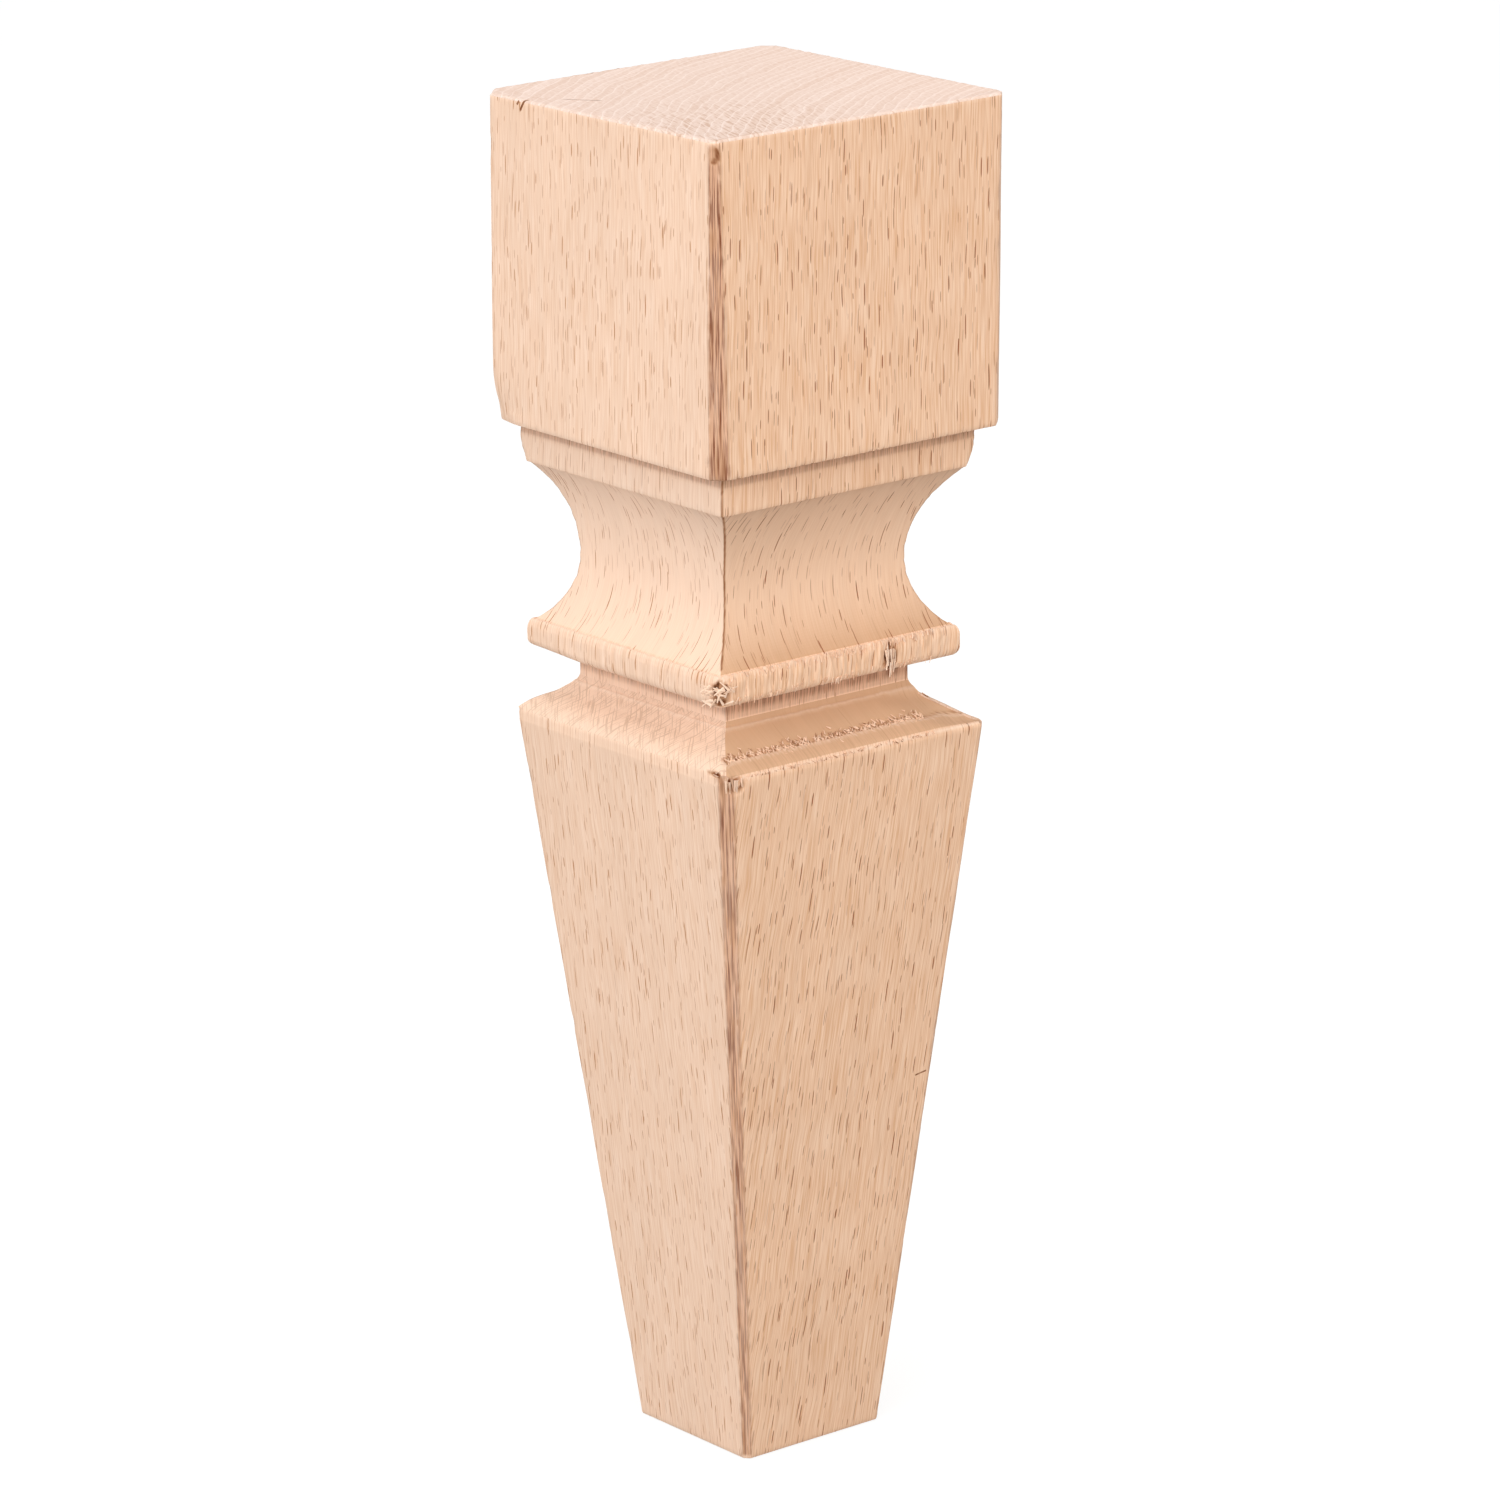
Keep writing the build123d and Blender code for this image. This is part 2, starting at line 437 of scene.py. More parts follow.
def tear(place, reach, pull, strip, fray):
    """Tear wood out of a place, leaving a jagged dark hollow with pale fibres round it."""
    for v in body.verts:
        apart = v.co - Vector(place)
        far = Vector((apart.x / reach[0], apart.y / reach[1], apart.z / reach[2])).length
        if far < 1.0:
            jag = 0.7 + 0.9 * rough(v.co.x * strip, v.co.y * strip, v.co.z * 0.5) + 0.3 * rough(*(v.co * 2.7))
            v.co += Vector(pull) * max(0.0, jag) * (1.0 - far * far)
            torn_and_shade, pale, scorch_and_shade, _ = v[wear_and_painted_light]
            deep = max(0.0, min(1.0, jag * 1.1 - 0.15)) * ramp(1.0 - far, 0.0, 0.35)
            frayed = fray * ramp(0.45 - jag, 0.0, 0.4)
            v[wear_and_painted_light] = (max(torn_and_shade, deep), max(pale, frayed), scorch_and_shade * (1.0 - deep), 1.0)


# Torn places, each with its middle, how far it reaches, how the wood was pulled, how narrow its
# strips are and how pale it is frayed: two on the bead, two at the front corner of the shoulder and
# one at its right corner, and one each at the front and back corners of the top
for place, reach, pull, strip, fray in (
        ((-25.0, -25.0, 134.6), (2.6, 2.6, 2.9), (1.3, 1.3, 0.2), 1.3, 0.9),
        ((10.4, -25.0, 134.4), (1.8, 1.6, 3.4), (0.1, 0.8, 0.2), 1.9, 0.9),
        ((-25.6, -27.6, 120.8), (2.6, 1.6, 1.7), (0.2, 0.9, -0.3), 1.6, 0.9),
        ((-27.6, -24.5, 122.6), (1.0, 2.2, 0.5), (0.4, 0.1, -0.2), 1.5, 0.9),
        ((27.2, -27.2, 121.7), (1.4, 1.4, 1.0), (-0.5, 0.5, -0.3), 1.6, 0.9),
        ((-29.2, -29.2, 222.6), (1.3, 1.3, 1.9), (0.25, 0.25, 0.0), 1.4, 0.0),
        ((24.6, 24.9, 225.0), (1.6, 1.6, 0.8), (-0.2, -0.2, -0.5), 1.2, 0.9)):
    tear(place, reach, pull, strip, fray)

# Splinters that still stand at the torn places, and fibres frayed along the lip of the shoulder and
# the edges of the bead on the two crisp sides
fibres = bmesh.new()
fibres.loops.layers.uv.new("grain")
fibre_tone = fibres.loops.layers.float_color.new("tone")
fibre_wear = fibres.verts.layers.float_color.new("wear_and_painted_light")
random.seed(11)


def sliver(root, aim, long, thick, side_tone, torn_and_shade, pale):
    """Stand one thin sliver of wood at a place."""
    aim = Vector(aim).normalized()
    turn = aim.to_track_quat("Z", "Y").to_matrix().to_4x4()
    middle = Vector(root) + aim * long * 0.3
    stick = bmesh.ops.create_cone(fibres, cap_ends=True, segments=5, radius1=thick, radius2=thick * 0.35,
                                  depth=long, matrix=Matrix.Translation(middle) @ turn)["verts"]
    for v in stick:
        v[fibre_wear] = (torn_and_shade, pale, 0.0, 1.0)
    for f in {f for v in stick for f in v.link_faces}:
        for loop in f.loops:
            loop[fibre_tone] = (side_tone, 0.0, 0.0, 1.0)


def either(reach):
    """A chance value up to this far to either side."""
    return random.uniform(-reach, reach)


# At the two torn places of the bead
for _ in range(26):
    beside = either(1.6)
    root = (-24.5 + beside, -24.5 - beside, 134.7 + either(1.5))
    lean = either(1.0)
    sliver(root, (lean - 0.2, -lean - 0.2, either(1.0)), random.uniform(1.1, 2.1), random.uniform(0.14, 0.3),
           1.0, 0.3 * random.random() ** 2, random.uniform(0.6, 1.0))
for beside in (-0.9, -0.45, 0.05, 0.5, 1.0):
    for level in (133.6, 135.4):
        root = (10.4 + beside, -24.75 + either(0.2), level + either(0.5))
        aim = (either(0.2), either(0.1), random.choice((-1.0, 1.0)))
        sliver(root, aim, random.uniform(1.8, 2.8), random.uniform(0.12, 0.26),
               1.0, 0.25 * random.random() ** 2, random.uniform(0.5, 1.0))

# At the front corner of the shoulder, on its right and its left
for step in range(11):
    root = (-26.9 + 0.42 * step, -27.05 + either(0.2), 121.2 + either(0.3))
    sliver(root, (either(0.3), -0.15, -1.0), random.uniform(1.0, 2.1), random.uniform(0.12, 0.27),
           1.0, random.uniform(0.0, 0.35), random.uniform(0.5, 1.0))
for _ in range(5):
    root = (-27.0 + either(0.3), -24.8 + either(0.9), 122.4 + either(0.3))
    sliver(root, (-0.2, either(1.0), either(0.3)), random.uniform(0.9, 1.7), random.uniform(0.08, 0.16),
           0.0, 0.2, 0.8)

# Along the end of the lip and the edge below it, and along the top and bottom of the bead, as far as
# each is frayed towards the corner that the cutter left by and the one that it came in at
for outward, across, side_tone, leaving in (
        (Vector((0.0, -1.0, 0.0)), Vector((1.0, 0.0, 0.0)), 1.0, -1.0),
        (Vector((1.0, 0.0, 0.0)), Vector((0.0, 1.0, 0.0)), 0.0, 1.0)):
    uphill = (Vector((0.0, 0.0, slope.y)) - outward * slope.x) / slope.length
    above = (Vector((0.0, 0.0, slope.x)) + outward * slope.y) / slope.length
    arris = outward * shoulder_side + Vector((0.0, 0.0, taper_top))
    lip_reach = sorted((24.5 * leaving, -16.0 * leaving))
    bead_reach = sorted((22.5 * leaving, -19.0 * leaving))
    for count, middle, spread, long, thick, lift in (
            (620, lip_run, 0.6, 1.0, 0.15, 0.12),
            (150, 0.25, 0.25, 0.8, 0.11, 0.0)):
        for _ in range(count):
            along = random.uniform(*lip_reach)
            dark = random.random() < 0.45
            root = arris + uphill * random.gauss(middle, spread) + across * along
            root += above * (lift if dark else lift + 0.14)
            aim = uphill * random.uniform(0.3, 1.0)
            aim += across * random.choice((-0.9, 0.7)) * random.uniform(0.3, 1.0)
            aim += above * random.uniform(0.0, 0.2)
            sliver(root, aim, random.uniform(0.4, 1.0) * long, random.uniform(0.5, 1.0) * thick, side_tone,
                   random.uniform(0.25, 0.6) if dark else 0.0, 0.0 if dark else random.uniform(0.0, 0.5))
    for level, count, rise, sunk in ((bead_top - 0.7, 130, 1.0, 0.35), (bead_bottom + 1.0, 80, -1.0, 0.25)):
        for _ in range(count):
            along = random.uniform(*bead_reach)
            root = outward * (bead_side - sunk) + Vector((0.0, 0.0, level + either(0.35))) + across * along
            aim = Vector((0.0, 0.0, rise)) + across * either(0.45) - outward * random.uniform(0.05, 0.3)
            sliver(root, aim, random.uniform(0.5, 1.2), random.uniform(0.07, 0.16), side_tone,
                   0.35 * random.random() ** 3, random.uniform(0.1, 0.8))
loose = bpy.data.meshes.new("fibres")
fibres.to_mesh(loose)
body.from_mesh(loose)
fibres.free()
bpy.data.meshes.remove(loose)

# The blank lay a little askew: the cove and bead sit about a millimetre over, the sawn top slopes by
# half a millimetre, and the block and band are worn in at their left and right corners
for v in body.verts:
    x, y, z = v.co
    over = ramp(z, taper_top, neck_bottom) * (1.0 - 0.9 * ramp(z, waist_level + 1.2, band_bottom + 2.0))
    over *= 1.0 - ramp(z, band_bottom + 2.0, block_bottom)
    v.co += Vector((-0.82, 0.66, 0.0)) * over
    if z > block_bottom - 0.05 and max(abs(x), abs(y)) > block_side - 2.0:
        worn = ramp(y - x, 51.0, 60.0) * (1.0 - ramp(z, block_bottom, block_bottom + 10.0)) ** 1.5
        v.co += Vector((1.05, -1.05, 0.0)) * worn
    if z > block_bottom:
        sawn_off = 0.225 - 0.05 * x / block_side + 0.175 * y / block_side
        v.co.z -= sawn_off * (z - block_bottom) / block_height
    elif z > band_bottom - 0.05 and x * y < 0.0:
        rounded = band_side * math.sqrt(2.0) - 1.32 * max(0.0, 1.0 - (z - band_bottom) / 5.5) ** 2
        reach = (abs(x) + abs(y)) / math.sqrt(2.0)
        v.co -= Vector((x, y, 0.0)).normalized() * max(0.0, reach - rounded)
    elif bead_bottom - 0.2 < z < bead_top and max(abs(x), abs(y)) > neck_side + 0.2:
        v.co.z += 0.55 * ramp(y - x, 32.0, 50.0) * (1.0 - ramp(z, bead_bottom, bead_bottom + 3.0))

bmesh.ops.scale(body, vec=(mm, mm, mm), verts=body.verts)
leg_mesh = bpy.data.meshes.new("leg")
body.to_mesh(leg_mesh)
body.free()
leg_mesh.shade_smooth()
leg_mesh.set_sharp_from_angle(angle=math.radians(32.0))
leg = bpy.data.objects.new("beech_leg", leg_mesh)
bpy.context.scene.collection.objects.link(leg)
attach(leg, "root")
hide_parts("leg")

# Raw beech, planed and not yet sanded: a pale pinkish brown, matt, thick with short upright ray
# flecks that are darker on the sides cut along the rings, and with fine pore lines between them.
beech = bpy.data.materials.new("raw_beech")
beech.use_nodes = True
tree = beech.node_tree
tree.nodes.clear()
leg_mesh.materials.append(beech)


def linear(colour):
    """An sRGB hex colour as linear red, green, blue and alpha."""
    parts = [int(colour[i:i + 2], 16) / 255.0 for i in (0, 2, 4)]
    return tuple(c / 12.92 if c <= 0.04045 else ((c + 0.055) / 1.055) ** 2.4 for c in parts) + (1.0,)


def add(kind, links, **settings):
    """Add a node with these settings, and link or set its inputs."""
    made = tree.nodes.new(kind)
    for name, value in settings.items():
        setattr(made, name, value)
    for socket, source in links.items():
        if isinstance(source, bpy.types.NodeSocket):
            tree.links.new(source, made.inputs[socket])
        else:
            made.inputs[socket].default_value = source
    return made.outputs


# The maps that the mesh carries, and every point of it in millimetres
grain_map = add("ShaderNodeUVMap", {}, uv_map="grain")["UV"]
tone_map = add("ShaderNodeAttribute", {}, attribute_name="tone")
tones = add("ShaderNodeSeparateColor", {0: tone_map["Color"]})
along_rings, end_cut, cut_aslant, lined = tones["Red"], tones["Green"], tones["Blue"], tone_map["Alpha"]
wear_and_light_map = add("ShaderNodeAttribute", {}, attribute_name="wear_and_painted_light")
wear_and_light_parts = add("ShaderNodeSeparateColor", {0: wear_and_light_map["Color"]})
torn_out_and_shade, standing_and_highlight, scorched_and_shaded = wear_and_light_parts["Red"], wear_and_light_parts["Green"], wear_and_light_parts["Blue"]
place = add("ShaderNodeTexCoord", {})["Object"]
place = add("ShaderNodeVectorMath", {0: place, "Scale": 1.0 / mm}, operation="SCALE")["Vector"]

# The grain wanders sideways by up to half a millimetre over a centimetre or so
wander = add("ShaderNodeTexNoise", {"Vector": grain_map, "Scale": 1.0 / 12.0, "Detail": 1.0},
             noise_dimensions="2D")["Color"]
wander = add("ShaderNodeVectorMath", {0: wander, 1: (0.5, 0.5, 0.5)}, operation="SUBTRACT")["Vector"]
wandering = add("ShaderNodeVectorMath", {0: wander, 1: (0.9, 0.0, 0.0), 2: grain_map},
                operation="MULTIPLY_ADD")["Vector"]

# Pore lines 0.26 mm wide and 10 mm long, bands of colour 1.8 mm wide, and clouds a centimetre or two
# across
pores = add("ShaderNodeVectorMath", {0: wandering, 1: (1.0 / 0.26, 1.0 / 10.0, 0.0)},
            operation="MULTIPLY")["Vector"]
pores = add("ShaderNodeTexNoise", {"Vector": pores, "Scale": 1.0, "Detail": 2.0, "Roughness": 0.6},
            noise_dimensions="2D")["Fac"]
bands = add("ShaderNodeVectorMath", {0: wandering, 1: (1.0 / 1.8, 1.0 / 50.0, 0.0)},
            operation="MULTIPLY")["Vector"]
bands = add("ShaderNodeTexNoise", {"Vector": bands, "Scale": 1.0, "Detail": 2.0},
            noise_dimensions="2D")["Fac"]
clouds = add("ShaderNodeVectorMath", {0: grain_map, 1: (1.0 / 12.0, 1.0 / 24.0, 0.0)},
             operation="MULTIPLY")["Vector"]
clouds = add("ShaderNodeTexNoise", {"Vector": clouds, "Scale": 1.0, "Detail": 1.0},
             noise_dimensions="2D")["Fac"]

# Ray flecks: one spindle in each cell of a scattered grid, with its own length, width and depth, and
# an edge 0.05 mm wide. They are a fifth wider on the sides cut along the rings, and faint on the slope
# of the shoulder. Two sizes lie over each other.
wider = add("ShaderNodeMath", {0: along_rings, 1: 0.2, 2: 0.95}, operation="MULTIPLY_ADD")[0]
flecks = None
for cell, half_length, half_width, shift in (
        ((1.5, 5.8), (0.9, 2.4), (0.08, 0.13), 0.0),
        ((1.1, 4.2), (0.5, 1.6), (0.06, 0.09), 37.0)):
    spread = add("ShaderNodeVectorMath",
                 {0: wandering, 1: (1.0 / cell[0], 1.0 / cell[1], 0.0), 2: (shift, shift, 0.0)},
                 operation="MULTIPLY_ADD")["Vector"]
    cells = add("ShaderNodeTexVoronoi", {"Vector": spread, "Scale": 1.0, "Randomness": 1.0},
                voronoi_dimensions="2D", feature="F1")
    chance = add("ShaderNodeSeparateColor", {0: cells["Color"]})
    apart = add("ShaderNodeVectorMath", {0: spread, 1: cells["Position"]}, operation="SUBTRACT")["Vector"]
    apart = add("ShaderNodeVectorMath", {0: apart, 1: (cell[0], cell[1], 0.0)},
                operation="MULTIPLY")["Vector"]
    apart = add("ShaderNodeSeparateXYZ", {0: apart})
    length = add("ShaderNodeMapRange",
                 {"Value": chance["Red"], "To Min": half_length[0], "To Max": half_length[1]})["Result"]
    width = add("ShaderNodeMapRange",
                {"Value": chance["Green"], "To Min": half_width[0], "To Max": half_width[1]})["Result"]
    width = add("ShaderNodeMath", {0: width, 1: wider}, operation="MULTIPLY")[0]
    along = add("ShaderNodeMath", {0: apart["Y"], 1: length}, operation="DIVIDE")[0]
    along = add("ShaderNodeMath", {0: along, 1: along}, operation="MULTIPLY")[0]
    along = add("ShaderNodeMath", {0: along, 1: along}, operation="MULTIPLY")[0]
    taper = add("ShaderNodeMath", {0: 1.0, 1: along}, operation="SUBTRACT", use_clamp=True)[0]
    aside = add("ShaderNodeMath", {0: apart["X"]}, operation="ABSOLUTE")[0]
    inside = add("ShaderNodeMath", {0: taper, 1: width}, operation="MULTIPLY")[0]
    inside = add("ShaderNodeMath", {0: inside, 1: aside}, operation="SUBTRACT")[0]
    inside = add("ShaderNodeMath", {0: inside, 1: 1.0 / 0.05}, operation="MULTIPLY", use_clamp=True)[0]
    depth = add("ShaderNodeMath", {0: along_rings, 1: -0.15, 2: chance["Blue"]}, operation="MULTIPLY_ADD")[0]
    depth = add("ShaderNodeMapRange", {"Value": depth, "From Min": 0.2, "From Max": 0.85})["Result"]
    fleck = add("ShaderNodeMath", {0: inside, 1: depth}, operation="MULTIPLY")[0]
    flecks = fleck if flecks is None else add("ShaderNodeMath", {0: flecks, 1: fleck}, operation="MAXIMUM")[0]
fading = add("ShaderNodeMapRange", {"Value": lined, "From Min": 0.12, "From Max": 0.35,
                                    "To Min": 0.15, "To Max": 1.0})["Result"]
flecks = add("ShaderNodeMath", {0: flecks, 1: fading}, operation="MULTIPLY")[0]

# Colour of the two kinds of side, tinted by their pore lines, bands and clouds and where they are cut
# aslant, with their flecks on top
plain = add("ShaderNodeMix", {"Factor": along_rings, 6: linear("FFDFC7"), 7: linear("FBD8BC")},
            data_type="RGBA")[2]
tint = add("ShaderNodeMix", {"Factor": along_rings, 6: linear("F2E8DE"), 7: linear("EBDAC8")},
           data_type="RGBA")[2]
line = add("ShaderNodeMapRange", {"Value": pores, "From Min": 0.68, "From Max": 0.32})["Result"]
line = add("ShaderNodeMath", {0: line, 1: lined}, operation="MULTIPLY")[0]
side_colour = add("ShaderNodeMix", {"Factor": line, 6: plain, 7: tint},
                  data_type="RGBA", blend_type="MULTIPLY")[2]
bands = add("ShaderNodeMath", {0: bands, 1: clouds}, operation="ADD")[0]
bands = add("ShaderNodeMapRange", {"Value": bands, "From Min": 0.7, "From Max": 1.3,
                                   "To Min": 0.975, "To Max": 1.015})["Result"]
side_colour = add("ShaderNodeMix", {"Factor": 1.0, 6: side_colour, 7: bands},
                  data_type="RGBA", blend_type="MULTIPLY")[2]
aslant_tint = add("ShaderNodeMix", {"Factor": along_rings, 6: linear("FAF8F6"), 7: linear("DDD1C2")},
                  data_type="RGBA")[2]
side_colour = add("ShaderNodeMix", {"Factor": cut_aslant, 6: side_colour, 7: aslant_tint},
                  data_type="RGBA", blend_type="MULTIPLY")[2]
fleck_colour = add("ShaderNodeMix", {"Factor": along_rings, 6: linear("BA7B4A"), 7: linear("98542A")},
                   data_type="RGBA")[2]
side_colour = add("ShaderNodeMix", {"Factor": flecks, 6: side_colour, 7: fleck_colour}, data_type="RGBA")[2]

# Where the two sides cut across the rings are aslant, ray lines 0.28 mm wide and 6 mm long cross each
# other
hatch = None
for turn in (38.0, -30.0):
    lines = add("ShaderNodeVectorMath", {0: grain_map, 1: (1.0, 1.7, 0.0)}, operation="MULTIPLY")["Vector"]
    lines = add("ShaderNodeMapping", {"Vector": lines, "Rotation": (0.0, 0.0, math.radians(turn)),
                                      "Scale": (0.28, 6.0, 1.0)}, vector_type="TEXTURE")["Vector"]
    lines = add("ShaderNodeTexNoise", {"Vector": lines, "Scale": 1.0, "Detail": 1.0},
                noise_dimensions="2D")["Fac"]
    lines = add("ShaderNodeMapRange", {"Value": lines, "From Min": 0.58, "From Max": 0.64})["Result"]
    hatch = lines if hatch is None else add("ShaderNodeMath", {0: hatch, 1: lines}, operation="MAXIMUM")[0]
across_rings = add("ShaderNodeMath", {0: cut_aslant, 1: along_rings},
                   operation="SUBTRACT", use_clamp=True)[0]
hatch = add("ShaderNodeMath", {0: hatch, 1: across_rings}, operation="MULTIPLY")[0]
hatch = add("ShaderNodeMath", {0: hatch, 1: 0.4}, operation="MULTIPLY")[0]
side_colour = add("ShaderNodeMix", {"Factor": hatch, 6: side_colour, 7: linear("B98E6C")},
                  data_type="RGBA")[2]

# Across the fibres it shows growth rings 1.7 mm apart about a far pith, each with a pale line, and
# grit 0.6 mm across
flat_place = add("ShaderNodeVectorMath", {0: place, 1: (1.0, 1.0, 0.0)}, operation="MULTIPLY")["Vector"]
sway = add("ShaderNodeTexNoise", {"Vector": flat_place, "Scale": 1.0 / 14.0, "Detail": 2.0},
           noise_dimensions="2D")["Fac"]
ring = add("ShaderNodeVectorMath", {0: flat_place, 1: (75.0, -120.0, 0.0)}, operation="DISTANCE")["Value"]
ring = add("ShaderNodeMath", {0: sway, 1: 3.0, 2: ring}, operation="MULTIPLY_ADD")[0]
ring = add("ShaderNodeMath", {0: ring, 1: 1.0 / 1.7}, operation="MULTIPLY")[0]
late = add("ShaderNodeMath", {0: ring}, operation="FRACT")[0]
late = add("ShaderNodeMath", {0: late, 1: 9.0}, operation="POWER")[0]
years = add("ShaderNodeTexNoise", {"W": ring, "Scale": 0.7, "Detail": 1.0}, noise_dimensions="1D")["Fac"]
grit = add("ShaderNodeTexNoise", {"Vector": flat_place, "Scale": 1.0 / 0.6, "Detail": 2.0},
           noise_dimensions="2D")["Fac"]
pale_wood = add("ShaderNodeMath", {0: years, 1: 0.6, 2: grit}, operation="MULTIPLY_ADD")[0]
pale_wood = add("ShaderNodeMath", {0: late, 1: 0.7, 2: pale_wood}, operation="MULTIPLY_ADD")[0]
pale_wood = add("ShaderNodeMapRange", {"Value": pale_wood, "From Min": 0.5, "From Max": 1.3})["Result"]
end_colour = add("ShaderNodeMix", {"Factor": pale_wood, 6: linear("E9CBB9"), 7: linear("FDE8DD")},
                 data_type="RGBA")[2]

# Between the pale lines lie the saw's marks, 0.42 mm wide and 4.5 mm long, thickest at the front corner
saw = add("ShaderNodeMapping", {"Vector": flat_place, "Rotation": (0.0, 0.0, math.radians(70.0)),
                                "Scale": (4.5, 0.42, 1.0)}, vector_type="TEXTURE")["Vector"]
saw = add("ShaderNodeTexNoise", {"Vector": saw, "Scale": 1.0, "Detail": 1.0}, noise_dimensions="2D")["Fac"]
saw = add("ShaderNodeMapRange", {"Value": saw, "From Min": 0.52, "From Max": 0.66})["Result"]
near_front = add("ShaderNodeVectorMath", {0: flat_place, 1: (-20.0, -22.0, 0.0)},
                 operation="DISTANCE")["Value"]
near_front = add("ShaderNodeMapRange", {"Value": near_front, "From Min": 26.0, "From Max": 6.0,
                                        "To Min": 0.12, "To Max": 0.75})["Result"]
early = add("ShaderNodeMath", {0: 1.0, 1: late}, operation="SUBTRACT")[0]
saw = add("ShaderNodeMath", {0: saw, 1: near_front}, operation="MULTIPLY")[0]
saw = add("ShaderNodeMath", {0: saw, 1: early}, operation="MULTIPLY")[0]
end_colour = add("ShaderNodeMix", {"Factor": saw, 6: end_colour, 7: linear("D5AE94")}, data_type="RGBA")[2]
wood_colour = add("ShaderNodeMix", {"Factor": end_cut, 6: side_colour, 7: end_colour}, data_type="RGBA")[2]

# Scorched wood and the painted shade of the neck and the band are streaked, in lines 0.3 mm wide and
# 8 mm long
streaks = add("ShaderNodeVectorMath", {0: grain_map, 1: (1.0 / 0.3, 1.0 / 8.0, 0.0)},
              operation="MULTIPLY")["Vector"]
streaks = add("ShaderNodeTexNoise", {"Vector": streaks, "Scale": 1.0, "Detail": 2.0, "Roughness": 0.6},
              noise_dimensions="2D")["Fac"]
scorch_and_shade = add("ShaderNodeMapRange", {"Value": streaks, "From Min": 0.40, "From Max": 0.62})["Result"]
scorch_and_shade_colour = add("ShaderNodeMix", {"Factor": scorch_and_shade, 6: linear("D3A587"), 7: linear("7E4A30")},
               data_type="RGBA")[2]
worn = add("ShaderNodeMix", {"Factor": scorched_and_shaded, 6: wood_colour, 7: scorch_and_shade_colour}, data_type="RGBA")[2]

# Small marks: two slits at the top of the left side, a scratch across the taper and a crack in the
# top, each a thin box with its middle, its turn in degrees and its half sizes in millimetres
marks = None
for middle, turned, half in (
        ((-30.0, 19.4, 224.0), (42.0, 0.0, 0.0), (1.0, 0.22, 0.5)),
        ((-30.0, 18.3, 223.7), (32.0, 0.0, 0.0), (1.0, 0.25, 1.25)),
        ((17.9, -21.0, 61.85), (0.0, -8.0, 0.0), (1.3, 1.5, 0.15)),
        ((-23.0, 12.0, 224.8), (0.0, 0.0, -56.0), (3.8, 0.13, 1.0))):
    rotation = tuple(math.radians(degrees) for degrees in turned)
    inside = add("ShaderNodeMapping",
                 {"Vector": place, "Location": middle, "Rotation": rotation, "Scale": half},
                 vector_type="TEXTURE")["Vector"]
    inside = add("ShaderNodeVectorMath", {0: inside}, operation="ABSOLUTE")["Vector"]
    inside = add("ShaderNodeSeparateXYZ", {0: inside})
    edge = add("ShaderNodeMath", {0: inside["X"], 1: inside["Y"]}, operation="MAXIMUM")[0]
    edge = add("ShaderNodeMath", {0: edge, 1: inside["Z"]}, operation="MAXIMUM")[0]
    mark = add("ShaderNodeMapRange", {"Value": edge, "From Min": 1.0, "From Max": 0.75})["Result"]
    marks = mark if marks is None else add("ShaderNodeMath", {0: marks, 1: mark}, operation="MAXIMUM")[0]
patchy = add("ShaderNodeTexNoise", {"Vector": place, "Scale": 1.0 / 1.2, "Detail": 1.0})["Fac"]
patchy = add("ShaderNodeMapRange", {"Value": patchy, "From Min": 0.35, "From Max": 0.6,
                                    "To Min": 0.5, "To Max": 0.95})["Result"]
marks = add("ShaderNodeMath", {0: marks, 1: patchy}, operation="MULTIPLY")[0]

# Standing fibres and the painted highlights are pale, and torn wood and the painted shade of the inner
# corners go from golden to dark brown the deeper they are
worn = add("ShaderNodeMix", {"Factor": standing_and_highlight, 6: worn, 7: linear("FCE4D0")}, data_type="RGBA")[2]
# The hollow mask carries torn wood, the marks and the painted shade of the inner corners
hollow = add("ShaderNodeMath", {0: torn_out_and_shade, 1: marks}, operation="MAXIMUM")[0]
hollow_and_shade_colour = add("ShaderNodeMix", {"Factor": hollow, 6: linear("D2A17A"), 7: linear("7A4526")},
                    data_type="RGBA")[2]
hollow = add("ShaderNodeMath", {0: hollow, 1: 1.8}, operation="MULTIPLY", use_clamp=True)[0]
worn = add("ShaderNodeMix", {"Factor": hollow, 6: worn, 7: hollow_and_shade_colour}, data_type="RGBA")[2]

# Matt raw wood with a fine relief of pores about 0.03 mm deep
relief = add("ShaderNodeMath", {0: pores, 1: lined}, operation="MULTIPLY")[0]
bump = add("ShaderNodeBump", {"Strength": 0.15, "Distance": 0.03 * mm, "Height": relief})["Normal"]
surface = add("ShaderNodeBsdfPrincipled", {"Base Color": worn, "Roughness": 0.7, "IOR": 1.45,
                                           "Specular IOR Level": 0.25, "Normal": bump})["BSDF"]
add("ShaderNodeOutputMaterial", {"Surface": surface})

# A plain floor of matt white paper that the leg stands on, with nothing fixed to it. It shows white
# to the camera and keeps the leg's shadow.
sheet = bmesh.new()
bmesh.ops.create_grid(sheet, x_segments=1, y_segments=1, size=6.0)
floor_mesh = bpy.data.meshes.new("floor")
sheet.to_mesh(floor_mesh)
sheet.free()
floor = bpy.data.objects.new("floor", floor_mesh)
bpy.context.scene.collection.objects.link(floor)
paper = bpy.data.materials.new("white_paper")
paper.use_nodes = True
tree = paper.node_tree
tree.nodes.clear()
floor_mesh.materials.append(paper)
ray = add("ShaderNodeLightPath", {})
seen = add("ShaderNodeMath", {0: ray["Is Camera Ray"], 1: ray["Is Glossy Ray"]}, operation="MAXIMUM")[0]
seen = add("ShaderNodeMath", {0: seen, 1: ray["Is Transmission Ray"]}, operation="MAXIMUM")[0]
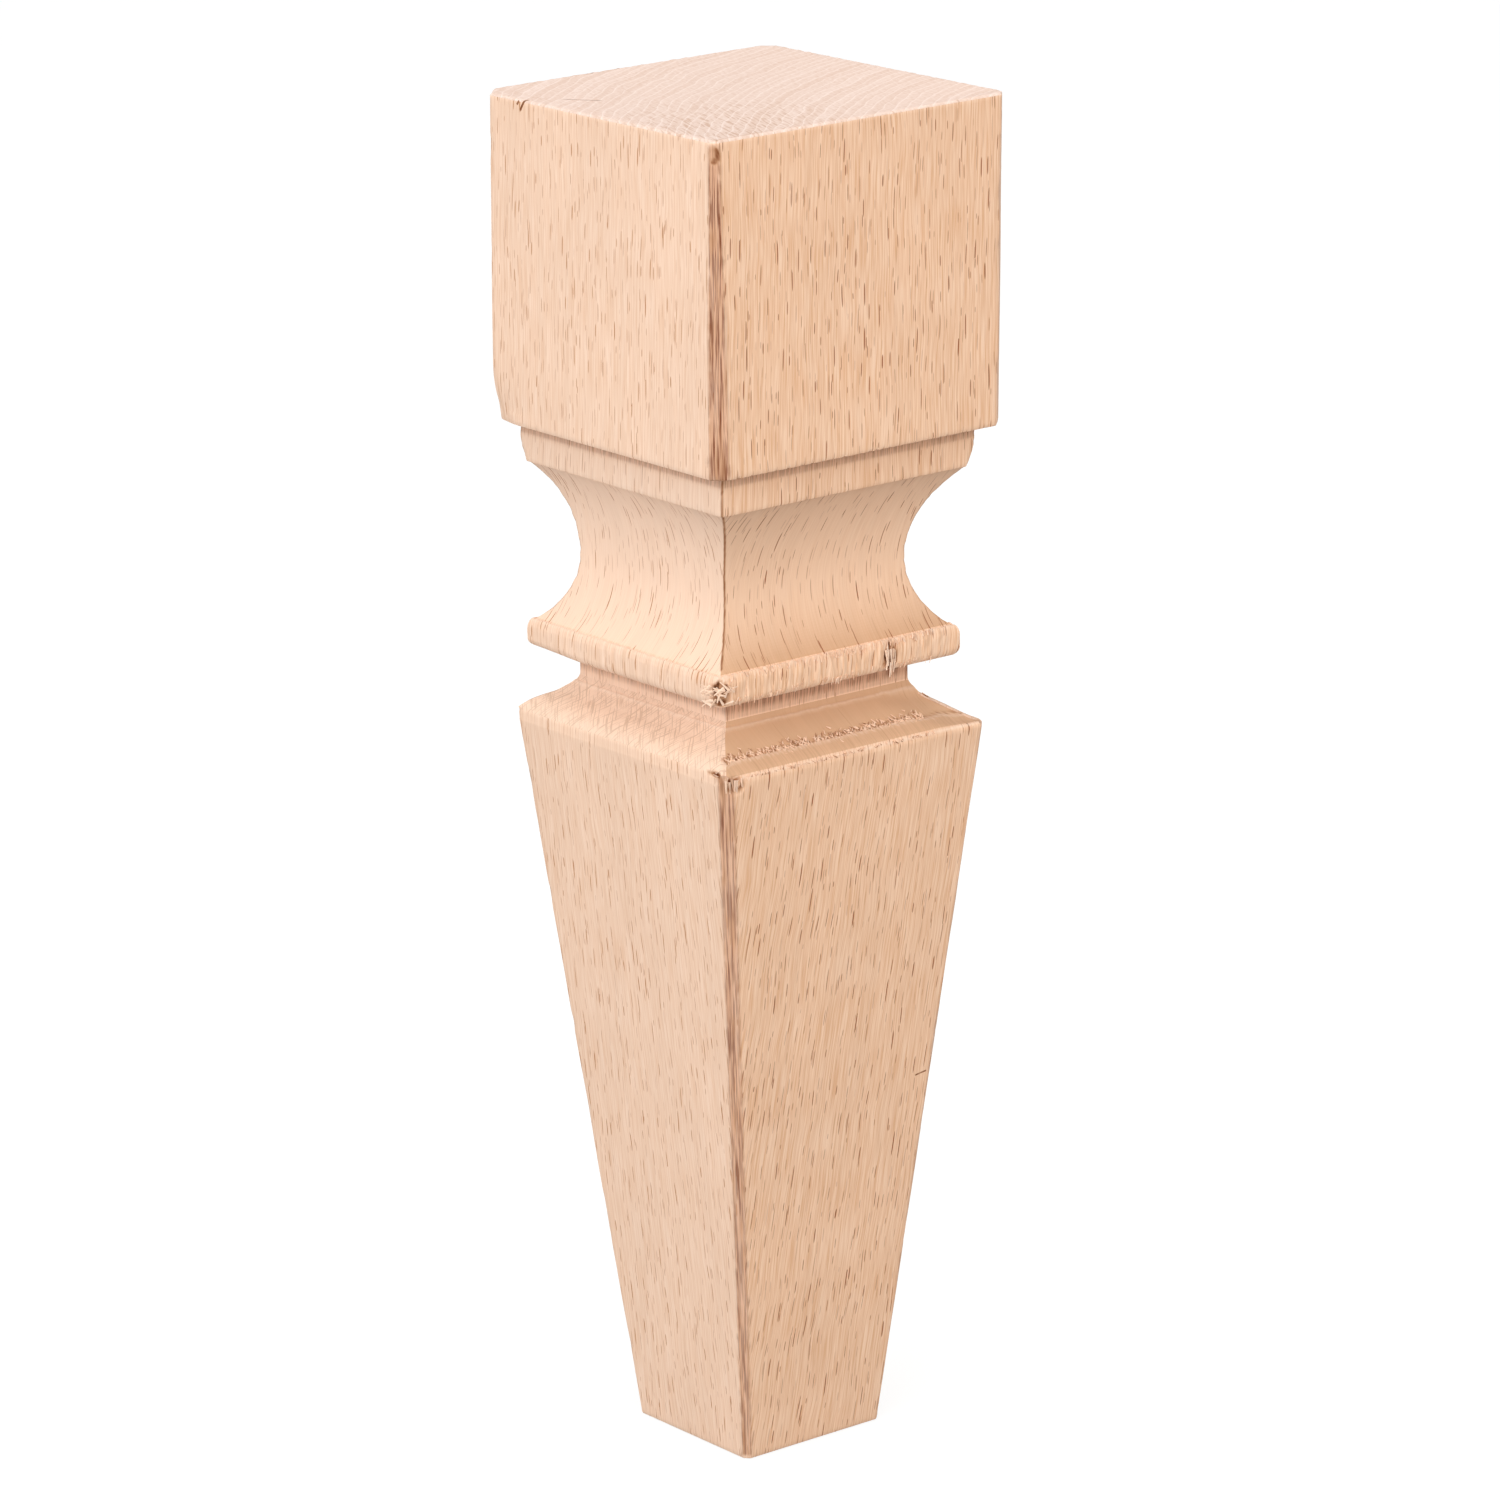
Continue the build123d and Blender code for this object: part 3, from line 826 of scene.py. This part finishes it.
seen = add("ShaderNodeMath", {0: seen, 1: 0.8}, operation="MULTIPLY")[0]
matt = add("ShaderNodeBsdfDiffuse", {"Color": linear("8C8C8C")})["BSDF"]
glow = add("ShaderNodeEmission", {"Color": linear("FFFFFF"), "Strength": seen})["Emission"]
white = add("ShaderNodeAddShader", {0: matt, 1: glow})["Shader"]
add("ShaderNodeOutputMaterial", {"Surface": white})

# Camera at the photograph's angle, for a square frame of 1500 pixels. Its turn is in degrees.
frame_pixels = 1500.0
focal_pixels = 7022.6
sensor_width = 36.0
heading, height_angle, roll = -38.815, 16.07, -0.742
camera_data = bpy.data.cameras.new("camera")
camera_data.sensor_width = sensor_width
camera_data.lens = sensor_width * focal_pixels / frame_pixels
camera = bpy.data.objects.new("camera", camera_data)
camera.matrix_world = (Matrix.Translation((-0.68928, -0.85657, 0.43262))
                       @ Matrix.Rotation(math.radians(heading), 4, "Z")
                       @ Matrix.Rotation(math.radians(90.0 - height_angle), 4, "X")
                       @ Matrix.Rotation(math.radians(roll), 4, "Z"))
bpy.context.scene.collection.objects.link(camera)
bpy.context.scene.camera = camera

# A large soft lamp from the left, a weaker one from the right, one from above, and light all round.
# The lamps are aimed at the middle of the leg.
aimed_at = Vector((0.0, 0.0, 0.12))
for name, position, size, power, colour in (
        ("left_softbox", (-1.2, -0.45, 0.45), 1.1, 10.2, "FFFFFF"),
        ("right_softbox", (-0.1, -1.3, 0.6), 0.9, 6.3, "FFF4E8"),
        ("top_softbox", (-0.15, 0.1, 1.5), 1.0, 3.7, "FFFFFF")):
    lamp_data = bpy.data.lights.new(name, "AREA")
    lamp_data.size = size
    lamp_data.energy = power
    lamp_data.color = linear(colour)[:3]
    lamp = bpy.data.objects.new(name, lamp_data)
    lamp.location = position
    lamp.rotation_euler = (aimed_at - Vector(position)).to_track_quat("-Z", "Y").to_euler()
    bpy.context.scene.collection.objects.link(lamp)
world = bpy.data.worlds.new("studio")
world.use_nodes = True
sky = world.node_tree.nodes["Background"].inputs
sky["Color"].default_value = linear("FFFFFF")
sky["Strength"].default_value = 0.69
bpy.context.scene.world = world
bpy.context.scene.view_settings.view_transform = "Standard"
